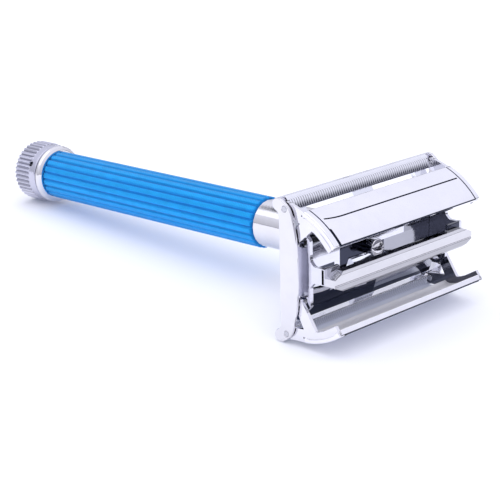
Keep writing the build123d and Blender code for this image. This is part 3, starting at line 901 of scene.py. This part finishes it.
def make_bar():
    """The centre bar: flat top with a fine crease, pointed ends, rounded long edges."""
    half = BAR_HALF_WIDTH
    section = [(-half, BAR_BOTTOM + 0.5), (0.4 - half, BAR_BOTTOM), (half - 0.4, BAR_BOTTOM),
               (half, BAR_BOTTOM + 0.5), (half, BAR_TOP - 0.4), (half - 0.45, BAR_TOP),
               (-0.25, BAR_TOP - 0.03), (-0.4, BAR_TOP - 0.18), (-0.55, BAR_TOP - 0.05),
               (0.45 - half, BAR_TOP), (-half, BAR_TOP - 0.4)]
    section = [(y + BAR_OFFSET, z) for y, z in rounded(section, 0.14, 3, (7,))]
    bar = prism("centre_rail", section, -BAR_HALF_LENGTH, BAR_HALF_LENGTH)
    cutters = []
    for x in (1, -1):
        for y in (1, -1):
            tip = [(x * (BAR_HALF_LENGTH + 1), BAR_OFFSET + y * 0.2),
                   (x * (BAR_HALF_LENGTH + 1), BAR_OFFSET + y * (half + 1)),
                   (x * (BAR_HALF_LENGTH - 2.6), BAR_OFFSET + y * (half + 1)),
                   (x * (BAR_HALF_LENGTH - 2.6), BAR_OFFSET + y * half),
                   (x * BAR_HALF_LENGTH, BAR_OFFSET + y * 0.7)]
            cutters.append(upright_prism("cut", tip, BAR_BOTTOM - 1, BAR_TOP + 1))
    combine(bar, cutters, "DIFFERENCE")
    soften(bar, 0.1, 3, 28.0)

    def bar_shade(x, y, z, normal):
        """Painted reflections: dark on the side towards the upper door, grey towards the lower
        one, light on top.
        """
        if normal.y > 0.95:
            return 0.97
        return 0.4 if y < BAR_OFFSET - 0.5 else 0.12

    shade_faces(bar, bar_shade)
    finish_piece(bar, "lift", CHROME, ["centre_bar"])


# ---- doors ----

def door_arc():
    """Centre and radius of the closed door's skin."""
    inner, outer = Vector(DOOR_INNER_EDGE), Vector(DOOR_OUTER_EDGE)
    half_chord = (outer - inner).length / 2
    radius = (half_chord ** 2 + DOOR_BULGE ** 2) / (2 * DOOR_BULGE)
    along = (outer - inner).normalized()
    centre = (inner + outer) / 2 - Vector((-along.y, along.x)) * (radius - DOOR_BULGE)
    return centre, radius


def door_point(fraction, depth):
    """A point of the closed door: 0 is its inner edge, 1 its outer edge; depth below the skin."""
    inner, outer = Vector(DOOR_INNER_EDGE), Vector(DOOR_OUTER_EDGE)
    centre, radius = door_arc()
    along = (outer - inner).normalized()
    up = Vector((-along.y, along.x))
    angle = (2 * fraction - 1) * math.asin((outer - inner).length / 2 / radius)
    return tuple(centre + (up * math.cos(angle) + along * math.sin(angle)) * (radius - depth))


def opened(point, side, angle):
    """A point of the closed upper door, turned open about its hinge and put on one side."""
    turn = math.radians(-angle)
    y, z = point[0] - HINGE[0], point[1] - HINGE[1]
    return (side * (HINGE[0] + y * math.cos(turn) - z * math.sin(turn)),
            HINGE[1] + y * math.sin(turn) + z * math.cos(turn))


def door_strip(start, stop, skin, depth0, depth1, steps=14):
    """The outline of a layer of the door, between two fractions and two depths."""
    fractions = [start + (stop - start) * i / steps for i in range(steps + 1)]
    top = [door_point(f, skin) for f in fractions]
    under = [door_point(f, depth0 + (depth1 - depth0) * i / steps)
             for i, f in enumerate(fractions)]
    return top + under[::-1]


def hull(points):
    """The convex outline round some flat points."""
    points = sorted(set(points))

    def half(order):
        line = []
        for p in order:
            while len(line) > 1:
                ax, ay = line[-1][0] - line[-2][0], line[-1][1] - line[-2][1]
                bx, by = p[0] - line[-1][0], p[1] - line[-1][1]
                if ax * by - ay * bx > 0:
                    break
                line.pop()
            line.append(p)
        return line[:-1]
    return half(points) + half(reversed(points))


def crease_cutters(turned):
    """A narrow V along the door that bends towards the hinge at its left end."""
    start, stop = CREASE_SPAN
    bounds = [start - 1.6 + 0.4 * i for i in range(12)] + [stop]
    cutters = []
    for x0, x1 in zip(bounds, bounds[1:]):
        middle = CREASE + 0.05 * max(0.0, (start + 3.0 - x0) / 4.6) ** 2
        profile = [(-0.018, -0.3), (0.018, -0.3), (0.017, 0.03), (0.008, 0.16), (-0.008, 0.16),
                   (-0.017, 0.03)]
        outline = turned([door_point(middle + f, d) for f, d in profile])
        cutters.append(prism("cut", outline, x0, x1 + 0.02))
    return cutters


def joined_outline(middle, outlines):
    """One outline round several that all hold the same middle point."""
    corners = [Vector(p) - Vector(middle) for outline in outlines for p in outline]
    angles = {math.atan2(c.y, c.x) for c in corners}
    angles |= {math.radians(2 * i) for i in range(-90, 90)}
    result = []
    for angle in sorted(angles):
        ray = Vector((math.cos(angle), math.sin(angle)))
        reach = 0.0
        for outline in outlines:
            for i, point in enumerate(outline):
                start = Vector(outline[i - 1]) - Vector(middle)
                side = Vector(point) - Vector(middle) - start
                cross = ray.x * side.y - ray.y * side.x
                if abs(cross) < 1e-9:
                    continue
                along = (start.x * side.y - start.y * side.x) / cross
                part = (start.x * ray.y - start.y * ray.x) / cross
                if along > reach and -1e-6 <= part <= 1 + 1e-6:
                    reach = along
        result.append(tuple(Vector(middle) + ray * reach))
    return thinned(result)


def thinned(points, spacing=0.42, bend=12.0):
    """Drops points that stand close together on a nearly straight run."""
    kept = [points[0]]
    for i in range(1, len(points)):
        here, last = Vector(points[i]), Vector(kept[-1])
        after = Vector(points[(i + 1) % len(points)]) - here
        before = here - last
        if before.length < 0.02:
            continue
        turned = after.length > 0.02 and before.angle(after) > math.radians(bend)
        if turned or before.length > spacing:
            kept.append(points[i])
    return kept


def make_door_end(side, end, turned, eye, body, name):
    """The wall that closes a door's end, with its hinge lug and the lug of the link pin."""
    outline = joined_outline(door_point(0.8, 1.3), [
        door_strip(0, 1, 0.3, 2.1, 2.1),
        [door_point(0.6, 0.5), door_point(1, 0.5), door_point(1, 1.4), door_point(0.6, 2.2)],
        hull(circle_outline(HINGE, 1.15, 18) + circle_outline(door_point(0.86, 1.3), 1.2, 18)),
        hull(circle_outline(eye, 1.0, 18) + circle_outline(door_point(0.78, 1.6), 1.3, 18)),
    ])
    limits = sorted((end * FLANGE_INNER, end * (DOOR_HALF_LENGTH - 0.05)))
    wall = prism(name, turned(outline), *limits)
    holes = [prism("cut", turned(circle_outline(centre, radius)), limits[0] - 1, limits[1] + 1)
             for centre, radius in ((HINGE, 0.6), (eye, LINK_PIN_RADIUS))]
    combine(wall, holes, "DIFFERENCE")
    soften(wall, 0.14, 3, 40.0)
    seam = [door_point(i / 24 - 0.02, 0.85) for i in range(26)]
    seam += [door_point(i / 24 - 0.02, 1.15) for i in reversed(range(26))]
    outer = sorted((end * (DOOR_HALF_LENGTH - 0.17), end * (DOOR_HALF_LENGTH + 0.5)))
    combine(wall, [prism("cut", turned(seam), *outer)], "DIFFERENCE")
    centre, radius = door_arc()
    centre = opened(centre, side, UPPER_OPEN if side > 0 else LOWER_OPEN)

    # painted shade: black in the seam groove, nearly black on the lower door's right end wall
    # inside, faintly darker elsewhere
    def wall_shade(x, y, z, normal):
        depth = radius - math.hypot(y - centre[0], z - centre[1])
        if 0.8 < depth < 1.14 and abs(x) > DOOR_HALF_LENGTH - 0.2:
            return 1.0
        return 0.85 if side < 0 < end and normal.x < -0.8 else 0.1

    shade_faces(wall, wall_shade)
    finish_piece(wall, body, DOOR_CHROME, sharp=40.0)


def make_door(side, angle, body, word):
    """A door: curved skin with crease and grooves, both end walls and its link pins."""
    def turned(outline):
        return [opened(p, side, angle) for p in outline]

    length = DOOR_HALF_LENGTH
    skin_top = [door_point(i / 16, 0) for i in range(17)]
    under = [door_point(0, 1.3)]
    under += [door_point(f / 16, DOOR_THICKNESS + 0.6 * max(0, (f - 14.4) / 1.6))
              for f in range(2, 17)]
    shell = prism(word + "_door", turned(skin_top + under[::-1]), -length, length)
    soften(shell, 0.26, 4, 40.0)
    cuts = crease_cutters(turned)
    groove = [door_point(i / 24 - 0.02, -0.4) for i in range(26)]
    groove += [door_point(i / 24 - 0.02, 0.16) for i in reversed(range(26))]
    for start in (-RIM_GROOVE_X, RIM_GROOVE_X - RIM_GROOVE_WIDTH):
        cuts.append(prism("cut", turned(groove), start - 0.03, start + RIM_GROOVE_WIDTH + 0.03))
    low = [door_point(i / 40, -0.4) for i in range(17)]
    low += [door_point(i / 40, 0.13) for i in reversed(range(17))]
    cuts.append(prism("cut", turned(low), -RIM_GROOVE_X, -RIM_GROOVE_X + 0.6))
    lip = [door_point(0.035, 0.95), door_point(0.062, 0.95),
           door_point(0.062, 1.6), door_point(0.035, 1.6)]
    cuts.append(prism("cut", turned(lip), 0.4 - FLANGE_INNER, FLANGE_INNER - 0.4))
    combine(shell, cuts, "DIFFERENCE")
    lip_middle = opened(door_point(0.048, 1.05), side, angle)
    centre, radius = door_arc()
    centre = opened(centre, side, angle)

    # painted shade: black in the groove under the lip and in the crease and rim grooves
    def door_shade(x, y, z, normal):
        depth = radius - math.hypot(y - centre[0], z - centre[1])
        from_lip = math.hypot(y - lip_middle[0], z - lip_middle[1])
        if from_lip < 0.22 and abs(x) < FLANGE_INNER - 0.3:
            return 1.0
        return 1.0 if 0.02 < depth < 0.2 and abs(x) < RIM_GROOVE_X + 0.02 else 0.0

    def inner_satin(x, y, z, normal):
        """The plating is duller inside the door than outside."""
        outward = Vector((0.0, y - centre[0], z - centre[1])).normalized()
        return 0.7 if normal.dot(outward) < -0.6 else 0.0

    shade_faces(shell, door_shade)
    store_faces(shell, "satin", inner_satin)
    finish_piece(shell, body, DOOR_CHROME, [body], sharp=40.0)
    eye = (HINGE[0] + LINK_ARM * math.cos(math.radians(LINK_ANGLE)),
           HINGE[1] + LINK_ARM * math.sin(math.radians(LINK_ANGLE)))
    for number, (end, hand) in enumerate(((1, "right"), (-1, "left"))):
        make_door_end(side, end, turned, eye, body, f"{word}_door_end_{hand}")
        limits = sorted((end * (YOKE_INNER - 0.15), end * (length - 0.01)))
        outline = turned(circle_outline(eye, LINK_PIN_RADIUS - 0.005))
        pin = prism(f"link_pin_{word}_{number}", outline, *limits)
        soften(pin, 0.08, 2)
        nodes = ["link_pins_" + word] if number == 0 else ()
        finish_piece(pin, body, STEEL, nodes)


make_grip()
make_collar()
make_ring()
make_knob()
make_head()
make_end_plates()
make_lift()
make_bar()
make_door(1, UPPER_OPEN, "door_upper", "upper")
make_door(-1, LOWER_OPEN, "door_lower", "lower")

for node, material in (("handle_tube", STEEL), ("rod_bush", BRASS), ("drive_nut", BRASS),
                       ("retaining_ring", STEEL), ("lift_rod", STEEL), ("knob_pin", STEEL)):
    piece = frame["nodes"][node]
    piece.data.materials.clear()
    piece.data.materials.append(material)


# ---- table, light and camera ----

def make_table():
    half = 1.6
    mesh = bpy.data.meshes.new("table")
    mesh.from_pydata([(-half, -half, 0), (half, -half, 0), (half, half, 0), (-half, half, 0)],
                     [], [(0, 1, 2, 3)])
    table = in_scene("table", mesh)
    n = Nodes("white_table")
    n.shader.inputs["Base Color"].default_value = (0.80, 0.80, 0.84, 1)
    n.shader.inputs["Emission Color"].default_value = (0.6, 0.7, 1.0, 1)
    n.shader.inputs["Emission Strength"].default_value = 0.13
    n.shader.inputs["Roughness"].default_value = 0.6
    n.shader.inputs["Specular IOR Level"].default_value = 0.25
    mesh.materials.append(n.material)


def make_world():
    """A white tent.  The gloss also sees its seam and the dark room beyond one corner."""
    world = bpy.data.worlds.new("studio")
    bpy.context.scene.world = world
    world.use_nodes = True
    tree = world.node_tree
    nodes, links = tree.nodes, tree.links
    nodes.clear()
    output = nodes.new("ShaderNodeOutputWorld")
    coords = nodes.new("ShaderNodeTexCoord")
    split = nodes.new("ShaderNodeSeparateXYZ")
    links.new(coords.outputs["Generated"], split.inputs[0])

    def background(strength):
        node = nodes.new("ShaderNodeBackground")
        node.inputs["Strength"].default_value = strength
        return node

    def ramp(source, stops, low, high):
        spread = nodes.new("ShaderNodeMapRange")
        spread.inputs["From Min"].default_value = low
        spread.inputs["From Max"].default_value = high
        links.new(source, spread.inputs["Value"])
        node = nodes.new("ShaderNodeValToRGB")
        band = node.color_ramp
        while len(band.elements) < len(stops):
            band.elements.new(0.5)
        for element, (position, value) in zip(band.elements, stops):
            element.position = (position - low) / (high - low)
            element.color = (value * 0.955, value * 0.96, value, 1)
        links.new(spread.outputs["Result"], node.inputs["Fac"])
        return node.outputs["Color"]

    def toward(x, y, z):
        node = nodes.new("ShaderNodeVectorMath")
        node.operation = "DOT_PRODUCT"
        node.inputs[1].default_value = Vector((x, y, z)).normalized()
        links.new(coords.outputs["Generated"], node.inputs[0])
        return node.outputs["Value"]

    def multiply(first, second):
        node = nodes.new("ShaderNodeMix")
        node.data_type = "RGBA"
        node.blend_type = "MULTIPLY"
        node.inputs["Factor"].default_value = 1.0
        links.new(first, node.inputs[MIX_FIRST])
        links.new(second, node.inputs[MIX_SECOND])
        return node.outputs[MIX_RESULT]

    tent = ramp(split.outputs["Z"], [(-1.0, 0.85), (-0.03, 0.80), (0.0, 0.45), (0.04, 0.72),
                                     (0.3, 0.88), (0.5, 1.05), (0.85, 1.15), (1.0, 1.2)], -1, 1)
    room = ramp(toward(0.75, -0.66, 0.06), [(0.0, 1.0), (0.93, 1.0), (0.965, 0.10), (1.0, 0.05)],
                0, 1)
    seam = ramp(toward(0.0, 0.72, -0.69), [(-0.14, 1.0), (-0.045, 1.0), (-0.02, 0.08),
                                           (0.02, 0.08), (0.045, 1.0), (0.2, 1.0)], -0.14, 0.2)
    gloss = background(1.0)
    links.new(multiply(multiply(tent, room), seam), gloss.inputs["Color"])

    plain = background(1.0)
    plain.inputs["Color"].default_value = (1.0, 1.0, 1.0, 1)
    soft = background(1.0)
    links.new(ramp(split.outputs["Z"], [(-1.0, 0.4), (0.0, 0.85), (0.4, 1.15), (1.0, 1.6)], -1, 1),
              soft.inputs["Color"])

    path = nodes.new("ShaderNodeLightPath")
    first = nodes.new("ShaderNodeMixShader")
    links.new(path.outputs["Is Glossy Ray"], first.inputs["Fac"])
    links.new(soft.outputs[0], first.inputs[1])
    links.new(gloss.outputs[0], first.inputs[2])
    second = nodes.new("ShaderNodeMixShader")
    links.new(path.outputs["Is Camera Ray"], second.inputs["Fac"])
    links.new(first.outputs[0], second.inputs[1])
    links.new(plain.outputs[0], second.inputs[2])
    links.new(second.outputs[0], output.inputs["Surface"])


def add_area(name, position, target, size, power, colour):
    light = bpy.data.lights.new(name, "AREA")
    light.shape = "RECTANGLE"
    light.size, light.size_y = size
    light.energy = power
    light.color = colour
    lamp = in_scene(name, light)
    lamp.location = position
    lamp.rotation_euler = (Vector(target) - Vector(position)).to_track_quat("-Z", "Y").to_euler()


def make_camera():
    """Fitted view: right, down and forward directions and the eye in the razor's own frame."""
    right = Vector((0.68632504, -0.02406671, 0.72689665))
    down = Vector((-0.22577333, -0.95712617, 0.1814825))
    forward = Vector((0.69136412, -0.28866986, -0.66233328))
    eye = (-219.29984572, 84.98538755, 182.18454029)

    def turn(v):
        return (ALONG * v.x + ACROSS * v.y + UP * v.z).normalized()

    data = bpy.data.cameras.new("camera")
    data.sensor_width = 36.0
    data.lens = 115.2
    data.clip_start = 0.01
    data.clip_end = 10.0
    camera = in_scene("camera", data)
    basis = Matrix((turn(right), -turn(down), -turn(forward))).transposed()
    camera.matrix_world = Matrix.Translation(place(eye)) @ basis.to_4x4()
    bpy.context.scene.camera = camera


make_table()
make_world()
add_area("key", (-0.25, 0.15, 0.55), (0, -0.01, 0), (0.7, 0.7), 0.6, (1.0, 0.99, 0.98))
make_camera()
bpy.context.scene.view_settings.view_transform = "Standard"
